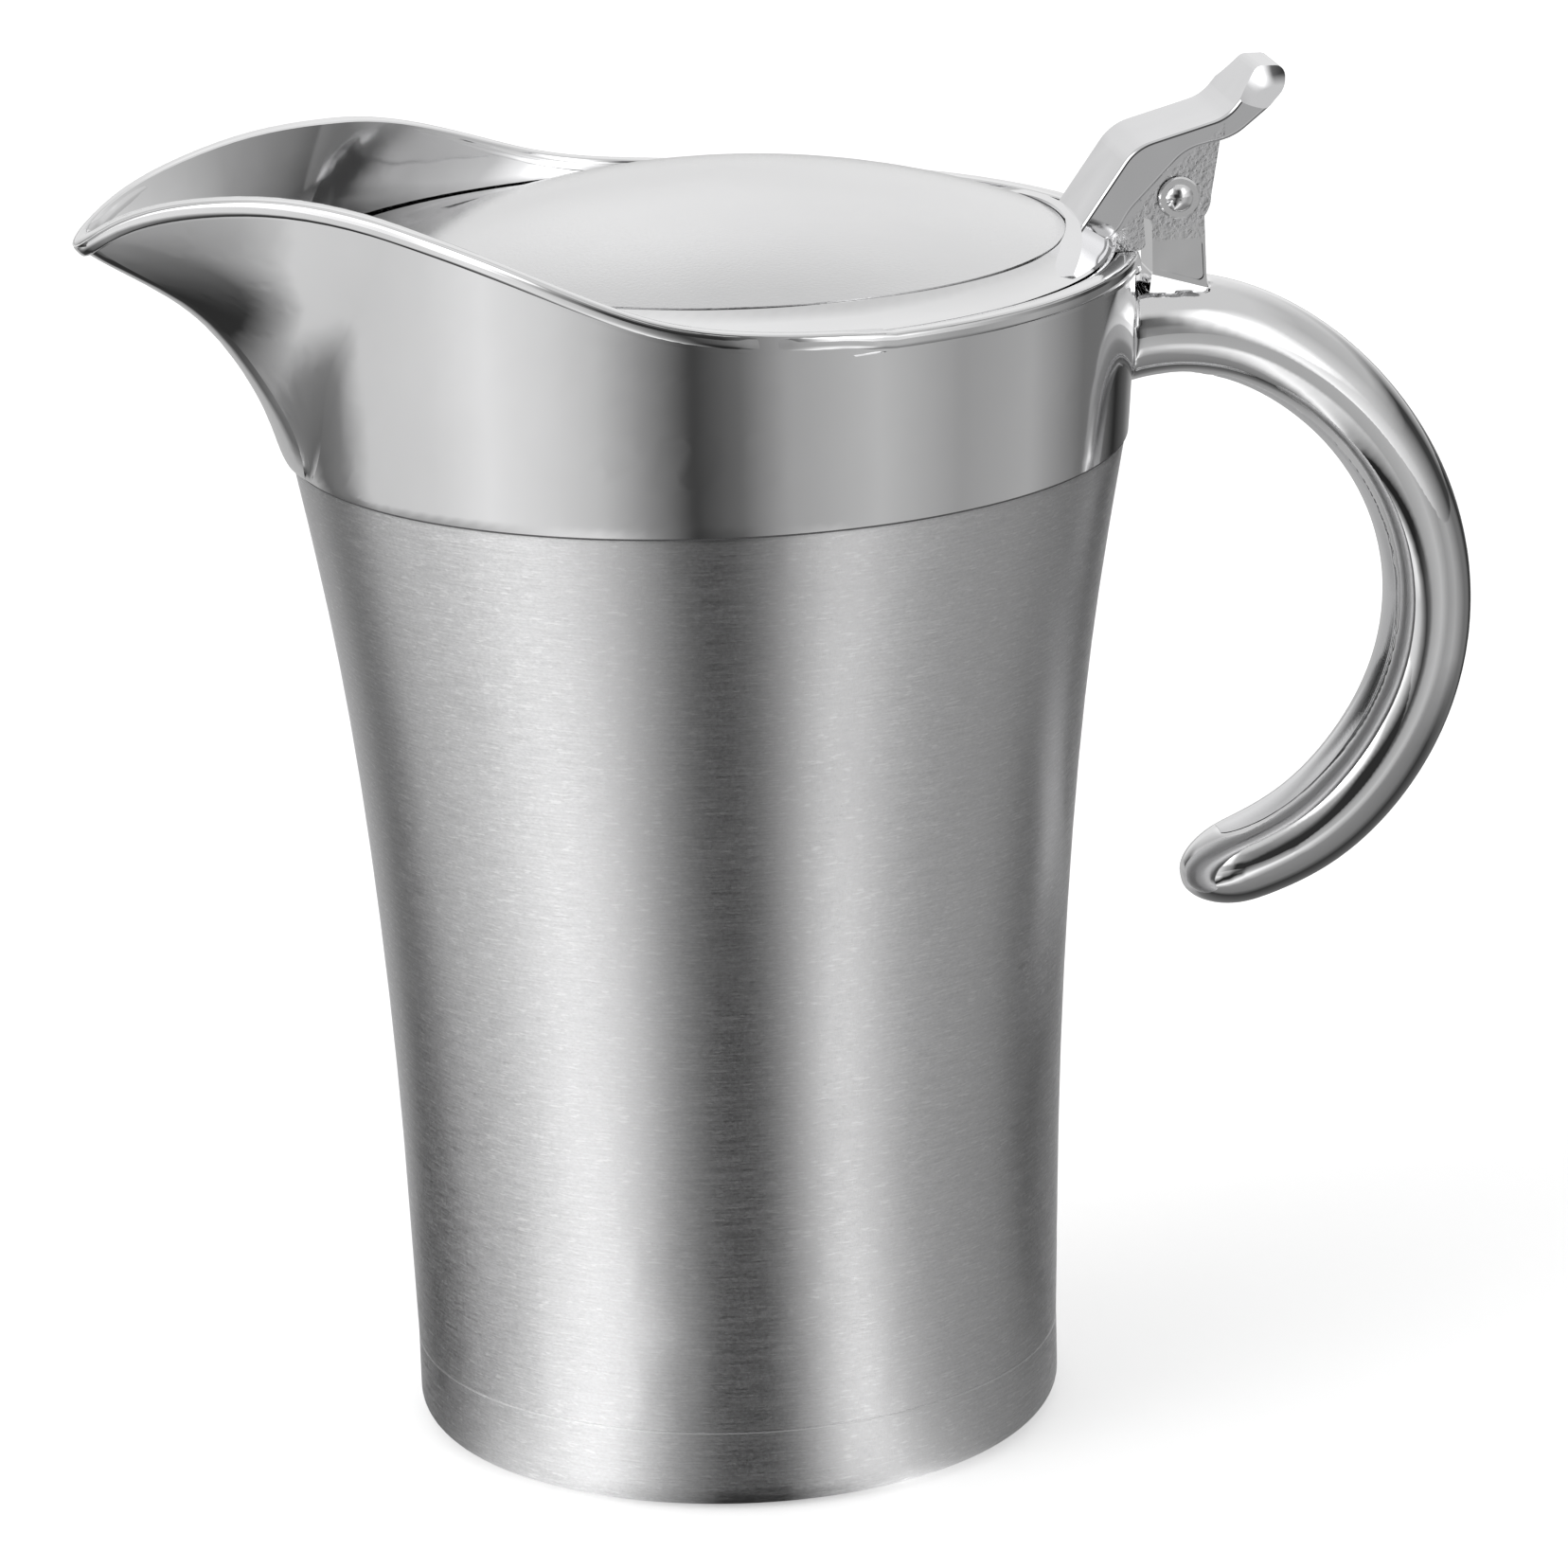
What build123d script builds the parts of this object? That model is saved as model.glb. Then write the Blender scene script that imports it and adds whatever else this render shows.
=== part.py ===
from build123d import *
import os
from math import cos, hypot, radians, sin, sqrt

# Insulated gravy boat: a double-walled steel jug with a chromed collar, spout, handle and hinged lid.
# Millimetres. The origin is the centre of the base on the jug's axis, +Z up.
# The spout points to -X and the handle to +X, and XZ is the plane of symmetry.

os.makedirs("parts", exist_ok=True)

# Steel jug
weld_height = 11.4
seam_height = 139.2
neck_height = 148.0
neck_radius = 54.2
sheet = 0.8
body_profile = [(44.9, weld_height), (45.9, 42.6), (48.2, 78.8), (52.4, 115.0), (56.7, seam_height)]
foot_radius = 41.4
foot_edge = 3.5
foot_ring = 3.6
foot_recess = 2.2
double_wall = 5.4
liner_floor = 8.0
liner_corner = 7.0
mouth_radius = 51.2

# Collar and spout. Each level is a height, the round back's radius, how far the nose reaches,
# the nose's radius and the radius of the hollow flank between them.
collar_levels = [
    (seam_height, 57.0, 57.6, 40.0, 80.0),
    (147.5, 57.65, 60.6, 24.0, 80.0),
    (154.5, 58.15, 64.4, 13.0, 80.0),
    (160.6, 58.4, 69.5, 9.0, 80.0),
    (165.8, 58.5, 76.8, 6.5, 80.0),
    (170.6, 58.6, 84.1, 5.0, 85.0),
    (175.5, 58.7, 87.4, 5.5, 105.0),
    (182.0, 58.8, 91.0, 6.0, 125.0),
]
rim_line = [
    (-84.2, 170.9), (-78.7, 175.0), (-68.2, 178.5), (-57.5, 179.6), (-44.0, 178.0),
    (-34.0, 175.1), (-21.0, 170.1), (-4.0, 166.1), (15.0, 164.7), (30.0, 164.5),
]
collar_wall = 2.2
floor_lift = 1.0
bead_height = 2.4
bead_proud = 0.45
dip_height = 162.3
dip_half = 12.5
gasket_height = 1.0
seat_height = 161.7
seat_radius = 55.9
seat_bore = 51.2

# Lid
rest_gap = 0.3
lid_radius = 55.2
lid_edge = 2.3
brim_waist = (2.0, 49.3, 165.1)
dome_centre = 4.0
dome_radius = 45.0
dome_edge_height = 166.55
dome_ball = 122.0
dome_sheet = 1.0
plug_radius = 49.9
plug_foot = 158.6
plug_wall = 1.4
groove_radius = 49.1
groove_low = 160.4
groove_high = 161.6

# Hinge and thumb lever
pin_x = 64.3
pin_z = 169.2
pin_radius = 1.5
pin_play = 0.05
pin_head = 2.9
pin_dome = 1.9
post_half = 3.9
crown_radius = 3.7
ear_thickness = 2.0
ear_gap = 0.3
ear_radius = 4.5
lever_half = 8.5
lever_edge = 0.5
thumb_scoop = (77.5, 17.5, 191.0, 13.5)
heel_half = 8.0
saddle_top = 167.3
saddle_ball = 170.0
saddle_x = 42.0
lever_screw_x = 52.3
lever_screw_side = 5.5

# Hinge post
post_foot = 150.6
post_x = 65.2
panel_depth = 0.35
post_screw_foot = 144.9
post_screw_head = 2.7

# Handle. Each station is an angle about the bend's centre, the outer and inner reach there and half the width.
bend_x = 61.0
bend_z = 111.0
handle_stations = [
    (101, 46.4, 31.6, 8.9), (94, 46.6, 32.3, 8.4), (84, 46.7, 32.9, 8.2), (72, 46.4, 33.1, 8.1),
    (58, 45.6, 32.8, 8.1), (40, 44.8, 32.6, 8.1), (20, 44.7, 32.8, 8.1), (0, 45.1, 33.1, 8.1),
    (-20, 45.7, 33.2, 8.1), (-40, 46.2, 33.3, 8.1), (-58, 46.3, 33.8, 8.1),
]
tip_turn = -70.0
tip_reach = 15.0
tip_middle = 39.9
tip_half_depth = 5.9
tip_half_width = 7.8
shoulder = (0.87, 0.42)
flank_bulge = -0.08
inner_corner = (0.74, -0.72)
insert_half = 3.6
insert_depth = 1.4
insert_start = 9.0
inner_bend = 33.1
handle_screw_x = 54.5
handle_screw_z = 151.9
handle_screw_side = 5.4
screw_head_height = 1.2


def save(shape, name, rgb):
    shape.label = name
    shape.color = Color(*rgb)
    export_step(shape, f"parts/{name}.step")


def outline(*runs):
    """A closed face in XZ. A run is an edge, or a list of (x, z) corners joined by straight lines."""
    edges = []
    for run in runs:
        if isinstance(run, list):
            edges += [Edge.make_line((a[0], 0, a[1]), (b[0], 0, b[1])) for a, b in zip(run, run[1:])]
        else:
            edges.append(run)
    return Face(Wire(edges))


def curve(points, start=None, end=None):
    """A smooth edge through (x, z) points, with optional end directions."""
    tangents = [(t[0], 0, t[1]) for t in (start, end)] if start else None
    return Edge.make_spline([(x, 0, z) for x, z in points], tangents=tangents)


def bow(a, b, c):
    """A round edge through three (x, z) points."""
    return Edge.make_three_point_arc(*[(x, 0, z) for x, z in (a, b, c)])


def turned(face):
    return revolve(face, axis=Axis.Z)


def both_sides(face, half):
    return extrude(face, amount=half, dir=(0, 1, 0), both=True)


def drum(radius, low, high, centre=0.0):
    return Pos(centre, 0, low) * Cylinder(radius, high - low, align=(Align.CENTER, Align.CENTER, Align.MIN))


def across(radius, half, x, z):
    """A round bar along Y, centred on the plane of symmetry."""
    return Pos(x, 0, z) * Rot(90, 0, 0) * Cylinder(radius, 2 * half)


def inward(points, amount):
    return [(x - amount, z) for x, z in points]


def base_cup():
    r, e = foot_radius, foot_edge
    skin = body_profile[0][0]
    low = foot_recess
    diagonal = e * sqrt(0.5)
    inner = e - sheet
    return turned(outline(
        [(0, low), (r - foot_ring - low, low), (r - foot_ring, 0), (r, 0)],
        bow((r, 0), (r + diagonal, e - diagonal), (r + e, e)),
        [(r + e, e), (skin, weld_height - 0.2), (skin - 0.2, weld_height), (skin - sheet, weld_height),
         (r + inner, e)],
        bow((r + inner, e), (r + inner * sqrt(0.5), e - inner * sqrt(0.5)), (r, sheet)),
        [(r, sheet), (r - foot_ring + 0.3, sheet), (r - foot_ring - low + 0.3, low + sheet),
         (0, low + sheet), (0, low)],
    ))


def outer_shell():
    skin = body_profile[0][0]
    inside = inward(body_profile, sheet)
    neck_in = neck_radius - sheet
    shoulder = seam_height - sheet
    rising = [(skin - 0.2, weld_height), (skin, weld_height + 0.2)]
    wall = curve([rising[1]] + body_profile[1:], (0.03, 1), (0.19, 1))
    wall_in = curve([inside[0]] + inside[1:-1] + [(inside[-1][0] - 0.15, shoulder)], (0.03, 1), (0.19, 1))
    return turned(outline(
        rising,
        wall,
        [body_profile[-1], (neck_radius, seam_height), (neck_radius, neck_height), (neck_in, neck_height),
         (neck_in, shoulder), (inside[-1][0] - 0.15, shoulder)],
        wall_in,
        [inside[0], rising[0]],
    ))


def inner_liner():
    c = liner_corner
    face = [(r - double_wall - sheet, z) for r, z in body_profile[1:]]
    low = liner_floor
    start = (face[0][0] - 0.9, low + sheet + c)
    wall_in = [start] + face + [(mouth_radius - 0.2, neck_height)]
    wall_out = [(r + sheet, z) for r, z in wall_in]
    k = sqrt(0.5)
    flat = start[0] - c
    outer_c = c + sheet
    lip = neck_height + sheet
    return turned(outline(
        [(0, low), (flat, low)],
        bow((flat, low), (flat + outer_c * k, low + outer_c * (1 - k)), (flat + outer_c, low + outer_c)),
        curve(wall_out, (0.03, 1), (0.06, 1)),
        [wall_out[-1], (neck_radius, neck_height), (neck_radius, lip), (wall_in[-1][0], lip), wall_in[-1]],
        curve(wall_in, (0.03, 1), (0.06, 1)),
        bow(start, (flat + c * k, low + sheet + c * (1 - k)), (flat, low + sheet)),
        [(flat, low + sheet), (0, low + sheet), (0, low)],
    ))


def teardrop(height, back, nose, nose_radius, flank):
    """The collar's outline at one height: a round back, a round nose and hollow flanks tangent to both."""
    nose_centre = nose - nose_radius
    to_back = back + flank
    to_nose = nose_radius + flank
    u = (to_back**2 + nose_centre**2 - to_nose**2) / (2 * nose_centre)
    v = sqrt(to_back**2 - u**2)
    on_back = (-u * back / to_back, v * back / to_back)
    on_nose = (-nose_centre - (u - nose_centre) * nose_radius / to_nose, v * nose_radius / to_nose)
    mx, my = (on_back[0] + on_nose[0]) / 2 + u, (on_back[1] + on_nose[1]) / 2 - v
    reach = flank / hypot(mx, my)
    middle = (-u + mx * reach, v + my * reach)

    def arc(a, b, c):
        return Edge.make_three_point_arc(*[(x, y, height) for x, y in (a, b, c)])

    def low(p):
        return (p[0], -p[1])

    return Face(Wire([
        arc(on_back, (back, 0), low(on_back)),
        arc(low(on_back), low(middle), low(on_nose)),
        arc(low(on_nose), (-nose, 0), on_nose),
        arc(on_nose, middle, on_back),
    ]))


def collar_form(grow, lift=0.0, first=0):
    """The collar's solid form, grown or shrunk all round and lifted."""
    return loft([
        teardrop(z + lift, back + grow, nose + grow, nose_radius + grow, flank - grow)
        for z, back, nose, nose_radius, flank in collar_levels[first:]
    ])


def rim_edge(drop=0.0):
    points = [(x, z - drop) for x, z in rim_line]
    return curve(points, (1.0, 0.95), (1.0, 0.0))


def rim_cutter():
    """Everything above the rim."""
    (x0, z0), (x1, z1) = rim_line[0], rim_line[-1]
    far, top = 70.0, 200.0
    return both_sides(outline(
        [(x0 - 16, top), (x0 - 16, z0 - 15.2), (x0, z0)],
        rim_edge(),
        [(x1, z1), (far, z1), (far, top), (x0 - 16, top)],
    ), 75)


def bead_band():
    """The strip just under the rim in which the lip stands proud."""
    (x0, z0), (x1, z1) = rim_line[0], rim_line[-1]
    far, d = 70.0, bead_height
    return both_sides(outline(
        [(x0 - 8, z0 - 7.6), (x0, z0)],
        rim_edge(),
        [(x1, z1), (far, z1), (far, z1 - d), (x1, z1 - d)],
        rim_edge(d),
        [(x0, z0 - d), (x0 - 8, z0 - d - 7.6), (x0 - 8, z0 - 7.6)],
    ), 75)


def rim_dip():
    """The dip in the rim behind the lid, where the lever's heel reaches out."""
    high, slope = rim_line[-1][1] + 0.1, 5.0
    half = [(dip_half, dip_height), (dip_half + slope, high), (dip_half + slope, high + 5)]
    corners = [(-y, z) for y, z in reversed(half)] + half
    face = Face(Wire.make_polygon([(53.0, y, z) for y, z in corners], close=True))
    return extrude(face, amount=8, dir=(1, 0, 0))


def collar_shell():
    outside = collar_form(0)
    inside = collar_form(-collar_wall, floor_lift, 1)
    lip = (collar_form(bead_proud) & bead_band()) - inside
    bore = drum(neck_radius + 0.1, seam_height, neck_height + 2)
    return (outside - rim_cutter() - inside - bore) + lip - rim_dip()


def seat_ring():
    low = neck_height + sheet + gasket_height
    lead = 1.2
    ring = turned(outline([
        (seat_bore, low), (neck_radius, low), (neck_radius, seat_height - 3.2),
        (seat_radius, seat_height - 1.6), (seat_radius, seat_height), (seat_bore + lead, seat_height),
        (seat_bore, seat_height - lead), (seat_bore, low),
    ]))
    pour_gap = Pos(-75, 0, low + 0.8 + 15) * Box(90, 130, 30)
    return ring - pour_gap


def neck_gasket():
    low = neck_height + sheet
    return drum(neck_radius - 0.2, low, low + gasket_height) - drum(seat_bore + 0.3, low, low + gasket_height)


def disc(radius, height, centre=0.0):
    return Pos(centre, 0, height) * Face(Wire(Edge.make_circle(radius)))


def lid_brim():
    foot = seat_height + rest_gap
    edge = foot + lid_edge
    waist_x, waist_r, waist_z = brim_waist
    brim = loft([
        disc(lid_radius, edge),
        disc(waist_r, waist_z, waist_x),
        disc(dome_radius + 0.4, dome_edge_height - 0.2, dome_centre),
    ])
    hollow = loft([
        disc(50.0, foot + 1.2),
        disc(46.8, foot + 1.6, 1.8),
        disc(43.2, foot + 2.2, dome_centre),
    ])
    brim = brim + drum(lid_radius, foot, edge) - drum(50.0, foot, foot + 1.2) - hollow
    rebate = drum(dome_radius + 0.1, dome_edge_height - dome_sheet - 0.1, 170, dome_centre)
    return brim - rebate - drum(dome_radius - 3, foot, 170, dome_centre)


def lid_dome():
    middle = dome_edge_height - sqrt(dome_ball**2 - dome_radius**2)
    ball_in = dome_ball - dome_sheet
    foot = dome_edge_height - dome_sheet
    rim_in = sqrt(ball_in**2 - (foot - middle) ** 2)
    half = dome_radius / 2

    def skin(ball, x):
        return (x, middle + sqrt(ball**2 - x**2))

    shell = turned(outline(
        [skin(ball_in, 0), skin(dome_ball, 0)],
        bow(skin(dome_ball, 0), skin(dome_ball, half), (dome_radius, dome_edge_height)),
        [(dome_radius, dome_edge_height), (dome_radius, foot), (rim_in, foot)],
        bow((rim_in, foot), skin(ball_in, half), skin(ball_in, 0)),
    ))
    return Pos(dome_centre, 0, 0) * shell


def lid_plug():
    """The moulded inside of the lid: a shallow dish with a groove round it for the gasket."""
    r, g, foot, wall = plug_radius, groove_radius, plug_foot, plug_wall
    top = seat_height + rest_gap + 1.0
    rim = 1.5
    dish = 43.0
    return turned(outline([
        (0, foot), (dish, foot + 0.8), (g - 0.9, foot + 1.2), (r, groove_low - 0.2), (r, groove_low),
        (g, groove_low), (g, groove_high), (r, groove_high), (r, top), (r - rim, top),
        (r - rim, foot + 1.0 + wall), (dish, foot + 0.8 + wall), (0, foot + wall), (0, foot),
    ]))


def lid_gasket():
    low, high = groove_low + 0.1, groove_high - 0.1
    return drum(seat_bore - rest_gap, low, high) - drum(groove_radius + 0.1, low, high)


def lever_blank():
    corners = [
        (50.3, 166.3, 0), (57.9, 176.9, 7.0), (70.6, 180.3, 6.0), (75.6, 186.3, 1.5), (79.4, 186.2, 1.2),
        (79.2, 183.4, 3.0), (71.6, 177.4, 8.0), (65.0, 176.1, 7.0), (57.0, 168.0, 9.0), (54.6, 163.6, 6.0),
        (48.4, 163.6, 0),
    ]
    path = FilletPolyline(*[(x, 0, z) for x, z, _ in corners], radius=[r for _, _, r in corners], close=True)
    return both_sides(Face(Wire(path.edges())), lever_half)


def ear(side):
    inner = post_half + ear_gap
    plate = both_sides(outline([
        (56.6, 167.6), (60.2, 166.4), (62.9, 164.93), (66.6, 165.34), (68.5, 167.6), (68.8, 169.2),
        (70.2, 177.3), (64.5, 176.0), (56.6, 167.6),
    ]), ear_thickness / 2) + across(ear_radius, ear_thickness / 2, pin_x, pin_z)
    return Pos(0, side * (inner + ear_thickness / 2), 0) * plate


def lever_heel():
    """The block under the lever's root that reaches out over the rim."""
    low = dip_height + rest_gap
    corners = [(53.0, low, 0), (59.3, low, 1.0), (58.9, 169.4, 0), (56.0, 168.4, 0), (53.0, 165.0, 0)]
    path = FilletPolyline(*[(x, 0, z) for x, z, _ in corners], radius=[r for _, _, r in corners], close=True)
    return both_sides(Face(Wire(path.edges())), heel_half)


def lever_saddle():
    """The crescent that hugs the back of the dome on either side of the lever."""
    waist_x = brim_waist[0]
    flank = loft([disc(53.6, 163.8, waist_x), disc(47.2, 168.0, waist_x)])
    crown = Pos(saddle_x, 0, saddle_top - saddle_ball) * Sphere(saddle_ball)
    behind = Pos(saddle_x + 20, 0, 166) * Box(40, 60, 10)
    return flank & crown & behind


def thumb_lever():
    lever = lever_blank()
    long_edges = [e for e in lever.edges() if abs(e.center().Y) > lever_half - 0.1 and e.center().Z > 165]
    lever = fillet(long_edges, lever_edge)
    x, y, z, reach = thumb_scoop
    for side in (-1, 1):
        lever -= Pos(x, side * y, z) * Sphere(reach)
        lever += ear(side)
    lever = lever + lever_heel() + lever_saddle()
    lever -= drum(dome_radius + 0.1, 160, 172, dome_centre)
    return lever - across(pin_radius + pin_play, 20, pin_x, pin_z)


def quad(*corners):
    """A flat face with four corners, mirrored across the plane of symmetry."""
    (x0, y0, z0), (x1, y1, z1) = corners
    return Face(Wire.make_polygon([(x0, -y0, z0), (x1, -y1, z1), (x1, y1, z1), (x0, y0, z0)], close=True))


def post_panel(side):
    """The shallow panel let into either side of the post."""
    corners = [(61.8, 162.6), (68.0, 162.6), (68.2, 156.8), (61.8, 158.9)]
    path = FilletPolyline(*[(x, 0, z) for x, z in corners], radius=0.7, close=True)
    return Pos(0, side * post_half, 0) * both_sides(Face(Wire(path.edges())), panel_depth)


def hinge_post():
    """The post with its bearing for the pin, and a skirt that spreads over the handle's top."""
    low = post_foot
    stem = both_sides(outline([
        (61.0, low), (68.9, low), (68.5, low + 7.4), (68.3, 167.4), (67.6, 170.6), (61.1, 170.6), (61.0, low),
    ]), post_half)
    crown = across(crown_radius, post_half, pin_x, pin_z)
    above = Pos(pin_x, 0, pin_z + 5) * Box(20, 20, 10)
    skirt = loft([
        quad((59.1, 7.1, 153.3), (70.4, 5.6, 153.3)),
        quad((60.3, 5.0, 155.7), (69.3, 4.5, 154.6)),
        quad((60.9, post_half + 0.05, 158.3), (68.8, post_half + 0.05, 155.9)),
    ], ruled=True)
    post = (stem - above) + crown + skirt - across(pin_radius, 20, pin_x, pin_z)
    return post - post_panel(-1) - post_panel(1)


def hinge_pin():
    """The pin, with a domed head on a low ring at either end."""
    reach = post_half + ear_gap + ear_thickness + 0.2
    ring, top = 0.5, 1.3
    ball = (pin_dome**2 + (top - ring) ** 2) / (2 * (top - ring))
    half = pin_dome / 2
    body = across(pin_radius, reach + 0.2, pin_x, pin_z)
    head = turned(outline(
        [(0, 0), (pin_head, 0), (pin_head, ring - 0.2), (pin_head - 0.25, ring), (pin_dome, ring)],
        bow((pin_dome, ring), (half, top - ball + sqrt(ball**2 - half**2)), (0, top)),
        [(0, top), (0, 0)],
    ))
    for side in (-1, 1):
        body += Pos(pin_x, side * reach, pin_z) * Rot(-90 * side, 0, 0) * head
    return body


def handle_station(turn, outer, inner, half):
    """The handle's section at one angle: a domed back, round flanks and a slightly domed inside."""
    middle, depth = (outer + inner) / 2, (outer - inner) / 2

    def at(across, out):
        reach = middle + out * depth
        along = radians(turn)
        return (bend_x + reach * cos(along), across * half, bend_z + reach * sin(along))

    (sy, sz), (cy, cz) = shoulder, inner_corner
    return Face(Wire([
        Edge.make_three_point_arc(at(-sy, sz), at(0, 1), at(sy, sz)),
        Edge.make_three_point_arc(at(sy, sz), at(1, flank_bulge), at(cy, cz)),
        Edge.make_three_point_arc(at(cy, cz), at(0, -1), at(-cy, cz)),
        Edge.make_three_point_arc(at(-cy, cz), at(-1, flank_bulge), at(-sy, sz)),
    ]))


def handle_form():
    stations = list(handle_stations)
    for share in (0.0, 0.3, 0.55, 0.76, 0.9, 0.975):
        narrow = sqrt(1 - share**2)
        turn = tip_turn - tip_reach * share
        depth = tip_half_depth * narrow
        stations.append((turn, tip_middle + depth, tip_middle - depth, tip_half_width * narrow))
    return loft([handle_station(*one) for one in stations])


def insert_form(handle):
    """The cover strip let into the inside of the curve."""
    band = across(inner_bend + insert_depth, insert_half, bend_x, bend_z)
    upper = Pos(bend_x + insert_start + 50, 0, bend_z + 50) * Box(100, 20, 100)
    lower = Pos(bend_x + insert_start + 50, 0, bend_z - 50) * Box(100, 20, 100)
    return handle & band & (upper + lower)


def pan_screw(start, along, length, radius, head):
    """A pan-head screw: the head begins at the start point and the shank runs on past it."""
    body = drum(head, 0, screw_head_height) + drum(radius, 0, length)
    return Plane(origin=start, z_dir=along) * body


def lever_screws():
    base = seat_height + rest_gap + 0.2
    sides = (-lever_screw_side, lever_screw_side)
    return [pan_screw((lever_screw_x, y, base), (0, 0, 1), 4.8, 1.25, 2.4) for y in sides]


def handle_screws():
    sides = (-handle_screw_side, handle_screw_side)
    return [pan_screw((handle_screw_x, y, handle_screw_z), (1, 0, 0), 8.0, 1.3, 2.4) for y in sides]


def post_screw():
    return pan_screw((post_x, 0, post_screw_foot), (0, 0, 1), 10.0, 1.5, post_screw_head)


# Each piece that is fitted to another is cut by the one that it seats on.
lever_pair = lever_screws()
handle_pair = handle_screws()
post_fixing = post_screw()
post = hinge_post()

collar = collar_shell()
screw_pocket = drum(post_screw_head + 0.1, post_screw_foot - 5, post_screw_foot + screw_head_height, post_x)
handle = handle_form() - collar_form(0) - post - screw_pocket
insert = insert_form(handle_form())
brim = lid_brim()
lever = thumb_lever() - brim
for one in handle_pair:
    collar -= one
    handle -= one
for one in lever_pair:
    brim -= one
    lever -= one

bright = (0.83, 0.84, 0.86)
satin = (0.72, 0.73, 0.74)
dark = (0.25, 0.26, 0.28)

save(base_cup(), "base_cup", satin)
save(outer_shell(), "outer_shell", satin)
save(inner_liner(), "inner_liner", satin)
save(neck_gasket(), "neck_gasket", dark)
save(collar, "collar", bright)
save(seat_ring(), "seat_ring", dark)
save(handle - insert - post_fixing, "handle", bright)
save(insert, "handle_insert", bright)
save(Compound(children=handle_pair), "handle_screws", satin)
save(post - post_fixing, "hinge_post", satin)
save(post_fixing, "post_screw", satin)
save(hinge_pin(), "hinge_pin", bright)
save(brim, "lid_brim", bright)
save(lid_dome(), "lid_dome", satin)
save(lid_plug(), "lid_plug", dark)
save(lid_gasket(), "lid_gasket", dark)
save(lever, "thumb_lever", bright)
save(Compound(children=lever_pair), "lever_screws", satin)
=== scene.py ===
import math

import bpy
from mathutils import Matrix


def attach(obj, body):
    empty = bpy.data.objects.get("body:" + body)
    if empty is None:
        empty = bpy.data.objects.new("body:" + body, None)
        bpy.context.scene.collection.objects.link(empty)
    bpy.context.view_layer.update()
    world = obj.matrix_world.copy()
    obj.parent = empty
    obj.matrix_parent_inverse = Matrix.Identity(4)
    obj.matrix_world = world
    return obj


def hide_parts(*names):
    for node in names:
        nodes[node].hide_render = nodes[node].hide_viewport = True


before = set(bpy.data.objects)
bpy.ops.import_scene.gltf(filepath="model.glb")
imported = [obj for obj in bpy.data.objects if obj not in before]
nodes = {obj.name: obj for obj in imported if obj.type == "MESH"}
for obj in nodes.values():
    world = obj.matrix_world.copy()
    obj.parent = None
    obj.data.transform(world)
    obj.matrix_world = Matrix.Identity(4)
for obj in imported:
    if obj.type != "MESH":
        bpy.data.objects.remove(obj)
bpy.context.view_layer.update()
print("frame loaded")


# node helpers

def link(tree, value, socket):
    if isinstance(value, (int, float, tuple)):
        socket.default_value = value
    else:
        tree.links.new(value, socket)


def mathNode(tree, operation, *values, clamp=False):
    node = tree.nodes.new("ShaderNodeMath")
    node.operation = operation
    node.use_clamp = clamp
    for index, value in enumerate(values):
        link(tree, value, node.inputs[index])
    return node.outputs[0]


def splitXYZ(tree, vector):
    node = tree.nodes.new("ShaderNodeSeparateXYZ")
    link(tree, vector, node.inputs[0])
    return node.outputs


def noiseNode(tree, vector, detail, rough):
    node = tree.nodes.new("ShaderNodeTexNoise")
    node.inputs["Scale"].default_value = 1.0
    node.inputs["Detail"].default_value = detail
    node.inputs["Roughness"].default_value = rough
    link(tree, vector, node.inputs["Vector"])
    return node.outputs["Fac"]


def stretched(tree, vector, scale):
    node = tree.nodes.new("ShaderNodeMapping")
    node.inputs["Scale"].default_value = scale
    link(tree, vector, node.inputs["Vector"])
    return node.outputs[0]


def spread(tree, value, low, high, outLow, outHigh):
    node = tree.nodes.new("ShaderNodeMapRange")
    node.inputs["From Min"].default_value = low
    node.inputs["From Max"].default_value = high
    node.inputs["To Min"].default_value = outLow
    node.inputs["To Max"].default_value = outHigh
    link(tree, value, node.inputs["Value"])
    return node.outputs[0]


def rise(tree, value, start, end):
    return spread(tree, value, start, end, 0.0, 1.0)


def swing(tree, noise, outLow, outHigh):
    return spread(tree, noise, 0.3, 0.7, outLow, outHigh)  # most of a noise lies between these two


def mixColor(tree, share, first, second, way="MIX"):
    node = tree.nodes.new("ShaderNodeMix")
    node.data_type = "RGBA"
    node.blend_type = way
    link(tree, share, node.inputs[0])
    link(tree, first, node.inputs[6])
    link(tree, second, node.inputs[7])
    return node.outputs[2]


def addBump(tree, bsdf, height, strength, distance):
    node = tree.nodes.new("ShaderNodeBump")
    node.inputs["Strength"].default_value = strength
    node.inputs["Distance"].default_value = distance
    link(tree, height, node.inputs["Height"])
    link(tree, node.outputs[0], bsdf.inputs["Normal"])


def newMaterial(name, color, metallic, roughness, **more):
    mat = bpy.data.materials.new(name)
    mat.use_nodes = True
    bsdf = mat.node_tree.nodes["Principled BSDF"]
    bsdf.inputs["Base Color"].default_value = (*color, 1)
    bsdf.inputs["Metallic"].default_value = metallic
    bsdf.inputs["Roughness"].default_value = roughness
    for key, value in more.items():
        bsdf.inputs[key.replace("_", " ")].default_value = value
    return mat, mat.node_tree, bsdf


def newGroup(name, inputs, outputs):
    group = bpy.data.node_groups.new(name, "ShaderNodeTree")
    for label, value in inputs:
        socket = group.interface.new_socket(label, in_out="INPUT", socket_type="NodeSocketFloat")
        socket.default_value = value
    for label in outputs:
        group.interface.new_socket(label, in_out="OUTPUT", socket_type="NodeSocketFloat")
    return group, group.nodes.new("NodeGroupInput"), group.nodes.new("NodeGroupOutput")


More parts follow.
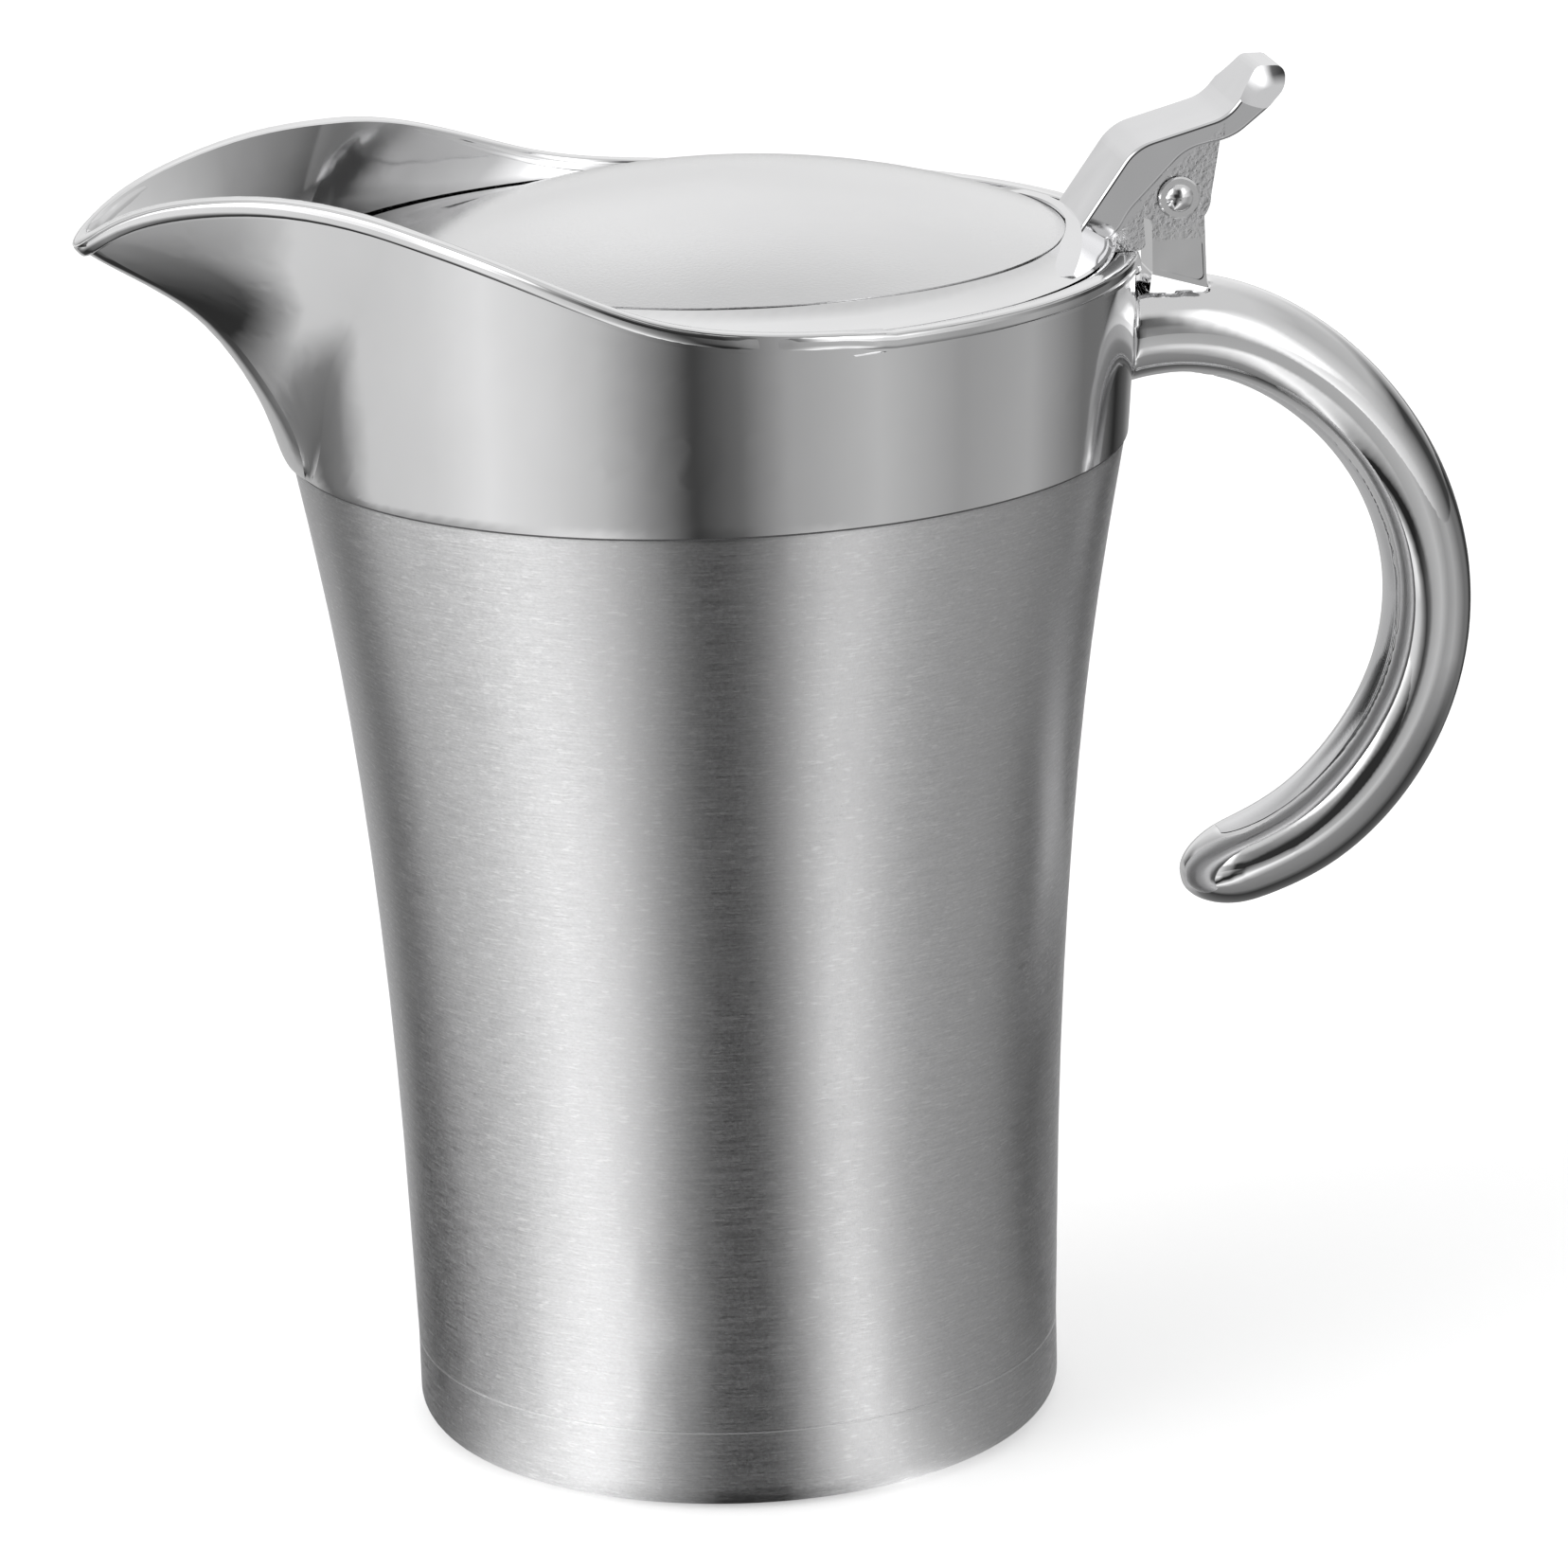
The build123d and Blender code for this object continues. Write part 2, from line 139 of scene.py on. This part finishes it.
def useGroup(tree, group, **values):
    node = tree.nodes.new("ShaderNodeGroup")
    node.node_tree = group
    for key, value in values.items():
        node.inputs[key].default_value = value
    return node.outputs


def objectCoords(tree):
    return tree.nodes.new("ShaderNodeTexCoord").outputs["Object"]


# mesh helpers

def pickOnly(piece):
    bpy.ops.object.select_all(action="DESELECT")
    piece.select_set(True)
    bpy.context.view_layer.objects.active = piece


def editAll():
    bpy.ops.object.mode_set(mode="EDIT")
    bpy.ops.mesh.select_all(action="SELECT")


def mergedCopy(source, name):
    copy = source.copy()
    copy.data = source.data.copy()
    copy.name = name
    bpy.context.scene.collection.objects.link(copy)
    pickOnly(copy)
    editAll()
    bpy.ops.mesh.remove_doubles(threshold=0.00001)
    bpy.ops.object.mode_set(mode="OBJECT")
    return copy


# brushing: fine broken scratches that run round the jug, with soft patches, and small bright spots in the
# colour that are painted glints
brushed = {
    "length": 210.0,                 # cells of noise in a metre, round the jug and up it
    "fineness": 3900.0,
    "speckle": 0.5,                  # share of the short broken scratches
    "shortLines": (9.0, 9.0, 0.9),
    "patches": (60.0, 60.0, 18.0),
    # the next four set the painted glints: small bright spots added to the base colour
    "glintSpots": (560.0, 560.0, 3600.0),
    "glintFrom": 0.61,
    "glintTo": 0.71,
    "paintedGlint": 0.16,
    "lineGloss": 0.16,
    "patchGloss": 0.03,
    "darkest": 0.82,
    "brightest": 1.14,
    "depth": 0.00003,
}
brushing, gin, gout = newGroup(
    "brushing",
    [("Length", brushed["length"]), ("Fineness", brushed["fineness"]), ("Speckle", brushed["speckle"])],
    ["Lines", "Patches", "PaintedGlints"])
coords = objectCoords(brushing)
place = splitXYZ(brushing, coords)
join = brushing.nodes.new("ShaderNodeCombineXYZ")
for axis, scale in (("X", "Length"), ("Y", "Length"), ("Z", "Fineness")):
    link(brushing, mathNode(brushing, "MULTIPLY", place[axis], gin.outputs[scale]), join.inputs[axis])
longLines = noiseNode(brushing, join.outputs[0], 3.0, 0.6)
shortLines = noiseNode(brushing, stretched(brushing, join.outputs[0], brushed["shortLines"]), 2.0, 0.7)
patches = noiseNode(brushing, stretched(brushing, coords, brushed["patches"]), 3.0, 0.55)
# the third output is painted glints: sparse bright spots from a fine noise, for the base colour
glintSpots = noiseNode(brushing, stretched(brushing, coords, brushed["glintSpots"]), 1.0, 0.5)
mixed = brushing.nodes.new("ShaderNodeMix")
link(brushing, gin.outputs["Speckle"], mixed.inputs[0])
link(brushing, longLines, mixed.inputs[2])
link(brushing, shortLines, mixed.inputs[3])
link(brushing, mixed.outputs[0], gout.inputs["Lines"])
link(brushing, patches, gout.inputs["Patches"])
link(brushing, rise(brushing, glintSpots, brushed["glintFrom"], brushed["glintTo"]), gout.inputs["PaintedGlints"])


def brushedSteel(name, color, rough, scratch, anisotropy):
    mat, tree, bsdf = newMaterial(name, color, 1.0, rough, Anisotropic=anisotropy, Anisotropic_Rotation=0.25)
    tangent = tree.nodes.new("ShaderNodeTangent")
    tangent.direction_type = "RADIAL"
    tangent.axis = "Z"
    link(tree, tangent.outputs[0], bsdf.inputs["Tangent"])
    marks = useGroup(tree, brushing)
    lineGloss = swing(tree, marks["Lines"], rough - brushed["lineGloss"], rough + brushed["lineGloss"])
    patchGloss = swing(tree, marks["Patches"], -brushed["patchGloss"], brushed["patchGloss"])
    link(tree, mathNode(tree, "ADD", lineGloss, patchGloss), bsdf.inputs["Roughness"])
    shade = swing(tree, marks["Lines"], brushed["darkest"], brushed["brightest"])
    # painted glints: small bright spots added to the base colour where the brushing would catch the light
    glint = mathNode(tree, "MULTIPLY", marks["PaintedGlints"], brushed["paintedGlint"])
    tone = mathNode(tree, "ADD", shade, glint)
    link(tree, mixColor(tree, 1.0, (*color, 1), tone, "MULTIPLY"), bsdf.inputs["Base Color"])
    addBump(tree, bsdf, marks["Lines"], scratch, brushed["depth"])
    return mat


# wear: soft smudges, fine grain and a slow ripple for every other finish
wear, gin, gout = newGroup(
    "wear", [("Smudge", 35.0), ("Grain", 2600.0), ("Ripple", 90.0)], ["Smudges", "Grains", "Ripples"])
coords = objectCoords(wear)
for label, scale, detail in (
        ("Smudges", "Smudge", 4.0), ("Grains", "Grain", 2.0), ("Ripples", "Ripple", 1.0)):
    scaled = wear.nodes.new("ShaderNodeVectorMath")
    scaled.operation = "SCALE"
    link(wear, coords, scaled.inputs[0])
    link(wear, gin.outputs[scale], scaled.inputs["Scale"])
    link(wear, noiseNode(wear, scaled.outputs[0], detail, 0.55), gout.inputs[label])


# cast: the rough skin that casting leaves on the sides of a piece, past a slanted line through "at"
cast = {"sideFrom": 0.8, "sideTo": 0.97, "edge": 0.0004}


def castSkin(tree, where):
    facing = splitXYZ(tree, tree.nodes.new("ShaderNodeNewGeometry").outputs["Normal"])
    place = splitXYZ(tree, objectCoords(tree))
    side = rise(tree, mathNode(tree, "ABSOLUTE", facing["Y"]), cast["sideFrom"], cast["sideTo"])
    alongX = mathNode(tree, "SUBTRACT", place["X"], where["at"][0])
    alongZ = mathNode(tree, "SUBTRACT", place["Z"], where["at"][1])
    past = mathNode(
        tree, "ADD", mathNode(tree, "MULTIPLY", alongX, where["slope"][0]),
        mathNode(tree, "MULTIPLY", alongZ, where["slope"][1]))
    skin = mathNode(tree, "MULTIPLY", side, rise(tree, past, 0.0, cast["edge"]))
    return mathNode(tree, "MULTIPLY", skin, mathNode(tree, "LESS_THAN", place["X"], where["before"]))


# finish: a plain surface with smudges in its gloss, and grain and ripple in its surface
def finish(name, color, metallic, rough, smudge, grain=0.0, ripple=0.0, shade=0.03, grainScale=2600.0,
           rippleScale=90.0, castAt=None):
    mat, tree, bsdf = newMaterial(name, color, metallic, rough)
    worn = useGroup(tree, wear, Grain=grainScale, Ripple=rippleScale)
    gloss = swing(tree, worn["Smudges"], rough - smudge, rough + smudge)
    grains = mathNode(tree, "SUBTRACT", worn["Grains"], 0.5)
    if castAt:
        skin = castSkin(tree, castAt)
        gloss = mathNode(tree, "ADD", gloss, mathNode(tree, "MULTIPLY", skin, castAt["rough"]))
        grains = mathNode(tree, "MULTIPLY", grains, skin)
    sand = mathNode(tree, "MULTIPLY", grains, grain)
    link(tree, mathNode(tree, "ADD", gloss, sand, clamp=True), bsdf.inputs["Roughness"])
    tone = swing(tree, worn["Smudges"], 1 - shade, 1 + shade)
    link(tree, mixColor(tree, 1.0, (*color, 1), tone, "MULTIPLY"), bsdf.inputs["Base Color"])
    height = mathNode(tree, "ADD", sand, mathNode(tree, "MULTIPLY", worn["Ripples"], ripple))
    addBump(tree, bsdf, height, 1.0, 0.0001)
    return mat


steel = brushedSteel("brushedSteel", (0.86, 0.86, 0.865), 0.48, 0.2, 0.96)
liner = brushedSteel("linerSteel", (0.66, 0.66, 0.665), 0.3, 0.2, 0.6)
polished = finish("polishedSteel", (0.84, 0.84, 0.845), 1.0, 0.075, 0.02, ripple=0.7, rippleScale=45.0)
satin = finish("satinLid", (0.82, 0.82, 0.825), 1.0, 0.2, 0.03, grain=0.25, ripple=0.5, rippleScale=25.0)
brim = finish("brightBrim", (0.85, 0.85, 0.855), 1.0, 0.06, 0.02, ripple=0.8)
chrome = finish("handleChrome", (0.87, 0.87, 0.875), 1.0, 0.045, 0.015, ripple=0.7, rippleScale=60.0)
# painted shadow: a near-black colour for the seam ring, which stands in for the shade in the gap under the
# collar
seamShadowPaint = finish("seamShadowPaint", (0.14, 0.14, 0.143), 0.6, 0.5, 0.08, grain=0.3, shade=0.1)
rimChrome = finish("rimChrome", (0.87, 0.87, 0.875), 1.0, 0.07, 0.02, ripple=1.0)
insertChrome = finish("insertChrome", (0.8, 0.8, 0.81), 1.0, 0.12, 0.03, grain=0.1, ripple=1.5)
castChrome = finish(
    "castChrome", (0.85, 0.85, 0.855), 1.0, 0.05, 0.02, grain=0.9, ripple=1.5, grainScale=1300.0,
    rippleScale=140.0, castAt={"at": (0.0, 0.1627), "slope": (0.0, 1.0), "before": 1.0, "rough": 0.12})
leverChrome = finish(
    "leverChrome", (0.82, 0.82, 0.83), 1.0, 0.05, 0.02, grain=1.0, ripple=1.2, grainScale=1500.0,
    castAt={"at": (0.0597, 0.1694), "slope": (0.69, -0.72), "before": 0.0703, "rough": 0.14})
pinSteel = finish("pinSteel", (0.86, 0.86, 0.865), 1.0, 0.1, 0.04, grain=0.1, ripple=0.8)
screwSteel = finish("screwSteel", (0.7, 0.7, 0.71), 1.0, 0.24, 0.06, grain=0.4)
silicone = finish("greySilicone", (0.32, 0.32, 0.33), 0.0, 0.55, 0.06, grain=0.5, shade=0.08)
plastic = finish(
    "darkPlastic", (0.045, 0.045, 0.05), 0.0, 0.45, 0.07, grain=0.7, shade=0.12, grainScale=1800.0)

dress = {
    "base_cup": steel, "outer_shell": steel, "inner_liner": liner, "neck_gasket": silicone,
    "collar": polished, "seat_ring": polished, "handle": chrome, "handle_insert": insertChrome,
    "handle_screws": screwSteel, "hinge_post": castChrome, "post_screw": screwSteel, "hinge_pin": pinSteel,
    "lid_brim": brim, "lid_dome": satin, "lid_plug": plastic, "lid_gasket": silicone,
    "thumb_lever": leverChrome, "lever_screws": screwSteel,
}
for name, mat in dress.items():
    nodes[name].data.materials.clear()
    nodes[name].data.materials.append(mat)
print("materials on")


# rim: the rolled lip that runs over the collar's edge, from the spout round to the hinge
rim = {
    "middle": -0.02,        # the sections are taken in upright planes through this x
    "steps": 240,
    "sides": 20,
    "nudge": 0.00001,       # turns each plane a hair away from the corners of the mesh
    "outside": 0.00018,     # how far it covers the collar's own edge outside, inside and on top
    "inside": 0.0001,
    "above": 0.0002,
    "depth": 0.001,
    "square": 3.2,          # 2 is an ellipse, higher is squarer
    "frontLimit": -0.0844,  # it stays inside the collar's own length and width
    "sideLimit": 0.0589,
    "sharp": 40,            # a corner of the lip is an edge sharper than this, in degrees,
    "upward": 0.35,         # beside a face that looks up more than this,
    "lowest": 0.158,        # above this height
    "innermost": 0.03,      # and farther out from the middle than this
    "widest": 0.006,        # how wide the lip may be
}


def rimEdges(source):
    copy = mergedCopy(source, "rimSource")
    bpy.ops.object.mode_set(mode="EDIT")
    bpy.ops.mesh.select_all(action="DESELECT")
    bpy.ops.mesh.select_mode(type="EDGE")
    bpy.ops.mesh.edges_select_sharp(sharpness=math.radians(rim["sharp"]))
    bpy.ops.object.mode_set(mode="OBJECT")
    mesh = copy.data
    topEdges = set()
    for face in mesh.polygons:
        if face.normal.z > rim["upward"] and face.center.z > rim["lowest"]:
            topEdges.update(face.edge_keys)
    edges = [[mesh.vertices[i].co.copy() for i in edge.vertices]
             for edge in mesh.edges if edge.select and edge.key in topEdges]
    bpy.data.objects.remove(copy)
    return edges


# the inner and the outer corner of the lip, where an upright plane at this turn cuts it
def rimSection(edges, turn):
    cosine, sine = math.cos(turn), math.sin(turn)
    hits = []
    for a, b in edges:
        sideA = (a.x - rim["middle"]) * sine - a.y * cosine
        sideB = (b.x - rim["middle"]) * sine - b.y * cosine
        if (sideA > 0) != (sideB > 0):
            point = a.lerp(b, sideA / (sideA - sideB))
            out = (point.x - rim["middle"]) * cosine + point.y * sine
            if out > rim["innermost"]:
                hits.append((out, point.z))
    hits.sort()
    near = [hit for hit in hits if hit[0] > hits[-1][0] - rim["widest"]]
    return near[0], hits[-1]


edges = rimEdges(nodes["collar"])
steps, sides = rim["steps"], rim["sides"]
shift = (rim["outside"] - rim["inside"]) / 2
halfHigh = rim["depth"] + rim["above"]
verts, faces = [], []
for step in range(steps):
    turn = math.pi + 2 * math.pi * step / steps
    (inR, inZ), (outR, outZ) = rimSection(edges, turn + rim["nudge"])
    width = math.hypot(outR - inR, outZ - inZ)
    across = ((outR - inR) / width, (outZ - inZ) / width)
    halfWide = width / 2 + (rim["outside"] + rim["inside"]) / 2
    midR = (inR + outR) / 2 + across[0] * shift + across[1] * rim["depth"]
    midZ = (inZ + outZ) / 2 + across[1] * shift - across[0] * rim["depth"]
    here = step * sides
    ahead = (step + 1) % steps * sides
    for side in range(sides):
        angle = 2 * math.pi * side / sides
        wide, high = math.cos(angle), math.sin(angle)
        wide = math.copysign(abs(wide) ** (2 / rim["square"]), wide) * halfWide
        high = math.copysign(abs(high) ** (2 / rim["square"]), high) * halfHigh
        r = midR + across[0] * wide - across[1] * high
        x = max(rim["middle"] + r * math.cos(turn), rim["frontLimit"])
        y = min(max(r * math.sin(turn), -rim["sideLimit"]), rim["sideLimit"])
        verts.append((x, y, midZ + across[1] * wide + across[0] * high))
        beside = (side + 1) % sides
        faces.append((here + side, ahead + side, ahead + beside, here + beside))
mesh = bpy.data.meshes.new("rimBead")
mesh.from_pydata(verts, [], faces)
rimBead = bpy.data.objects.new("rimBead", mesh)
bpy.context.scene.collection.objects.link(rimBead)
pickOnly(rimBead)
editAll()
bpy.ops.mesh.normals_make_consistent(inside=False)
bpy.ops.object.mode_set(mode="OBJECT")
bpy.ops.object.shade_smooth()
mesh.materials.append(rimChrome)
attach(rimBead, "jug")
print("rim made")


# handle: the CAD handle with its facets smoothed away, so that it mirrors in clean lines
handleSkin = {"voxel": 0.0005, "smoothing": 0.5, "passes": 8}
handle = mergedCopy(nodes["handle"], "handleSkin")
bpy.ops.mesh.customdata_custom_splitnormals_clear()
skin = handle.modifiers.new("skin", "REMESH")
skin.mode = "VOXEL"
skin.voxel_size = handleSkin["voxel"]
skin.use_smooth_shade = True
bpy.ops.object.modifier_apply(modifier="skin")
polish = handle.modifiers.new("polish", "SMOOTH")
polish.factor = handleSkin["smoothing"]
polish.iterations = handleSkin["passes"]
bpy.ops.object.modifier_apply(modifier="polish")
handle.data.materials.clear()
handle.data.materials.append(chrome)
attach(handle, "jug")
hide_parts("handle")
print("handle smoothed")


# seam: a thin dark ring that stands for the shadow gap where the collar sits down on the body
seam = {"radius": 0.05672, "thick": 0.00024, "height": 0.13908, "flat": 0.75, "steps": 240, "sides": 8}
bpy.ops.object.select_all(action="DESELECT")
bpy.ops.mesh.primitive_torus_add(
    major_radius=seam["radius"], minor_radius=seam["thick"], major_segments=seam["steps"],
    minor_segments=seam["sides"], location=(0, 0, 0))
seamShadowRing = bpy.context.object
seamShadowRing.name = "seamShadowRing"
editAll()
bpy.ops.transform.resize(value=(1, 1, seam["flat"]))
bpy.ops.transform.translate(value=(0, 0, seam["height"]))
bpy.ops.object.mode_set(mode="OBJECT")
bpy.ops.object.shade_smooth()
seamShadowRing.data.materials.append(seamShadowPaint)
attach(seamShadowRing, "jug")
print("seam made")


# studio: the light that the metal mirrors, and a floor and background that are white to the camera only
studio = {
    "cameraAt": (-0.12937, -0.92045, 0.36522),
    "cameraTurn": (73.4530, 1.6568, -9.0348),
    "lens": 161.39,
    "sensor": 36,
    "clip": (0.05, 30),
    "floorSize": 8.0,
    "floorColor": (0.88, 0.88, 0.88),
    "floorRough": 0.7,
    "floorLift": 0.42,       # what the camera sees on top of the floor's own light
    "table": (0.22, 0.34),   # between these distances tableNear gives way to tableFar
    "walls": (0.25, 0.4),    # between these, of 1 for straight up, wallsLow gives way to wallsHigh
    "ceiling": (0.65, 0.8),  # and wallsHigh to overhead
    "overhead": 0.66,
    # bearing from -Y towards +X in degrees, and brightness there
    # the levels are from a least-squares fit to the jug's brightness in the photo,
    # rounded and then changed
    "wallsLow": [
        (-180, 0.8), (-168, 0.8), (-144, 0.15), (-132, 0.03), (-120, 0.2), (-108, 0.85), (-84, 1.05),
        (-72, 1.45), (-60, 1.35), (-48, 0.65), (-36, 0.3), (-24, 0.03), (0, 0.03), (13, 0.2), (19, 0.55),
        (26, 1.15), (36, 0.9), (66, 0.55), (96, 0.2), (108, 0.05), (120, 0.05), (144, 0.57), (156, 0.9),
        (180, 0.8),
    ],
    "wallsHigh": [
        (-180, 0.95), (-150, 0.5), (-120, 0.9), (-90, 2.0), (-62, 4.0), (-34, 0.45), (0, 0.03), (15, 0.15),
        (26, 1.3), (36, 2.7), (47, 1.3), (60, 0.72), (90, 0.5), (120, 0.55), (150, 0.8), (180, 0.95),
    ],
    "tableNear": [
        (-180, 0.47), (-144, 0.35), (-132, 0.04), (-108, 0.03), (-84, 0.16), (-72, 0.27), (-60, 0.6),
        (-48, 0.9), (-36, 0.94), (-24, 0.38), (-12, 0.02), (0, 0.02), (12, 0.47), (24, 1.15), (36, 0.55),
        (48, 0.27), (84, 0.2), (96, 0.04), (132, 0.17), (144, 0.32), (168, 0.48), (180, 0.47),
    ],
    "tableFar": [
        (-180, 0.53), (-144, 0.47), (-132, 0.14), (-120, 0.22), (-108, 0.65), (-84, 0.73), (-66, 0.88),
        (-48, 0.73), (-36, 0.58), (-24, 0.29), (-12, 0.05), (0, 0.15), (12, 0.39), (36, 0.55), (60, 0.35),
        (84, 0.43), (108, 0.17), (120, 0.17), (132, 0.02), (144, 0.12), (156, 0.36), (168, 0.53),
        (180, 0.53),
    ],
}


def bearing(tree, vector):
    parts = splitXYZ(tree, vector)
    turn = mathNode(tree, "ARCTAN2", parts["X"], mathNode(tree, "MULTIPLY", parts["Y"], -1.0))
    return mathNode(tree, "ADD", mathNode(tree, "DIVIDE", turn, 2 * math.pi), 0.5)


def compass(tree, share, levels):
    node = tree.nodes.new("ShaderNodeValToRGB")
    ramp = node.color_ramp
    ramp.interpolation = "LINEAR"
    link(tree, share, node.inputs[0])
    for index, (degrees, level) in enumerate(levels):
        place = (degrees + 180) / 360
        stop = ramp.elements[index] if index < 2 else ramp.elements.new(place)
        stop.position = place
        stop.color = (level, level, level, 1)
    return node.outputs["Color"]


camData = bpy.data.cameras.new("camera")
camData.lens = studio["lens"]
camData.sensor_width = studio["sensor"]
camData.clip_start, camData.clip_end = studio["clip"]
camera = bpy.data.objects.new("camera", camData)
camera.location = studio["cameraAt"]
camera.rotation_euler = [math.radians(a) for a in studio["cameraTurn"]]
bpy.context.scene.collection.objects.link(camera)
bpy.context.scene.camera = camera

bpy.ops.object.select_all(action="DESELECT")
bpy.ops.mesh.primitive_plane_add(size=studio["floorSize"], location=(0, 0, 0))
floor = bpy.context.object
floor.name = "floor"
paper, tree, bsdf = newMaterial("floorPaper", studio["floorColor"], 0.0, studio["floorRough"])
bsdf.inputs["Specular IOR Level"].default_value = 0.0
path = tree.nodes.new("ShaderNodeLightPath")
share = bearing(tree, objectCoords(tree))
reach = tree.nodes.new("ShaderNodeVectorMath")
reach.operation = "LENGTH"
link(tree, objectCoords(tree), reach.inputs[0])
table = mixColor(
    tree, rise(tree, reach.outputs["Value"], *studio["table"]),
    compass(tree, share, studio["tableNear"]), compass(tree, share, studio["tableFar"]))
shine = tree.nodes.new("ShaderNodeEmission")
link(tree, table, shine.inputs["Color"])
lift = tree.nodes.new("ShaderNodeEmission")
toCamera = mathNode(tree, "MULTIPLY", path.outputs["Is Camera Ray"], studio["floorLift"])
link(tree, toCamera, lift.inputs["Strength"])
both = tree.nodes.new("ShaderNodeAddShader")
link(tree, bsdf.outputs[0], both.inputs[0])
link(tree, lift.outputs[0], both.inputs[1])
mixer = tree.nodes.new("ShaderNodeMixShader")
link(tree, path.outputs["Is Glossy Ray"], mixer.inputs[0])
link(tree, both.outputs[0], mixer.inputs[1])
link(tree, shine.outputs[0], mixer.inputs[2])
link(tree, mixer.outputs[0], tree.nodes["Material Output"].inputs["Surface"])
floor.data.materials.append(paper)

world = bpy.data.worlds.new("studio")
bpy.context.scene.world = world
world.use_nodes = True
tree = world.node_tree
direction = tree.nodes.new("ShaderNodeTexCoord").outputs["Generated"]
share = bearing(tree, direction)
up = splitXYZ(tree, direction)["Z"]
walls = mixColor(
    tree, rise(tree, up, *studio["walls"]),
    compass(tree, share, studio["wallsLow"]), compass(tree, share, studio["wallsHigh"]))
overhead = (studio["overhead"], studio["overhead"], studio["overhead"], 1.0)
sky = mixColor(tree, rise(tree, up, *studio["ceiling"]), walls, overhead)
path = tree.nodes.new("ShaderNodeLightPath")
seen = mixColor(tree, path.outputs["Is Camera Ray"], sky, (1.0, 1.0, 1.0, 1.0))
link(tree, seen, tree.nodes["Background"].inputs["Color"])

bpy.context.scene.view_settings.view_transform = "Standard"
print("studio set")
